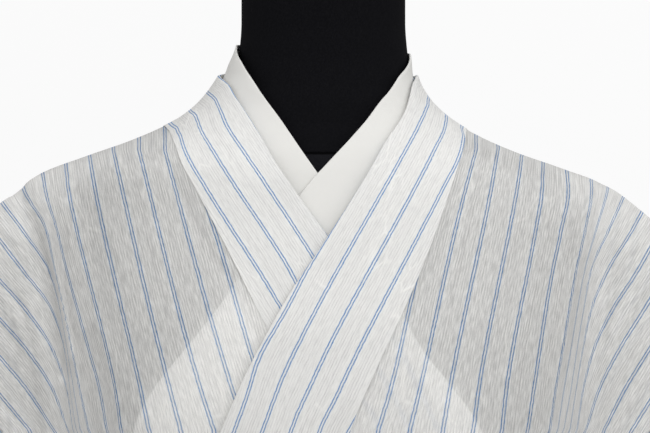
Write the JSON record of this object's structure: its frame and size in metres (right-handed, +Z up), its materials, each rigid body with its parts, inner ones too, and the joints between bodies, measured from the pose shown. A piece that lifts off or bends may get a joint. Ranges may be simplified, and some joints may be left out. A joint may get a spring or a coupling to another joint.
{
  "type": "summer kimono on a limbless dress form",
  "caption": "Striped summer kimono, left front over right, with a white inner collar and a plain sash, on a black limbless dress form with a round stand.",
  "frame": {"origin": "on the floor under the middle of the stand's base", "axes": "+Z up, -Y to the front of the wearer, +X to the wearer's left"},
  "size_m": [0.8686, 0.36, 1.5083],
  "materials": {
    "striped_crepe": "thin crinkled crepe, off-white with pairs of fine blue stripes",
    "sash_cloth": "plain woven off-white cotton",
    "white_collar_cloth": "plain white cloth",
    "form_cover": "matt black knitted cover",
    "stand_metal": "satin black"
  },
  "bodies": {
    "root": {"body_left": "striped_crepe", "body_right": "striped_crepe", "overlap_left": "striped_crepe", "overlap_right": "striped_crepe", "collar": "striped_crepe", "sleeve_left": "striped_crepe", "sleeve_right": "striped_crepe", "sash": "sash_cloth", "inner_collar": "white_collar_cloth", "form_torso": "form_cover", "form_neck_cap": "form_cover", "form_pole": "stand_metal", "form_base": "stand_metal"}
  },
  "joints": []
}
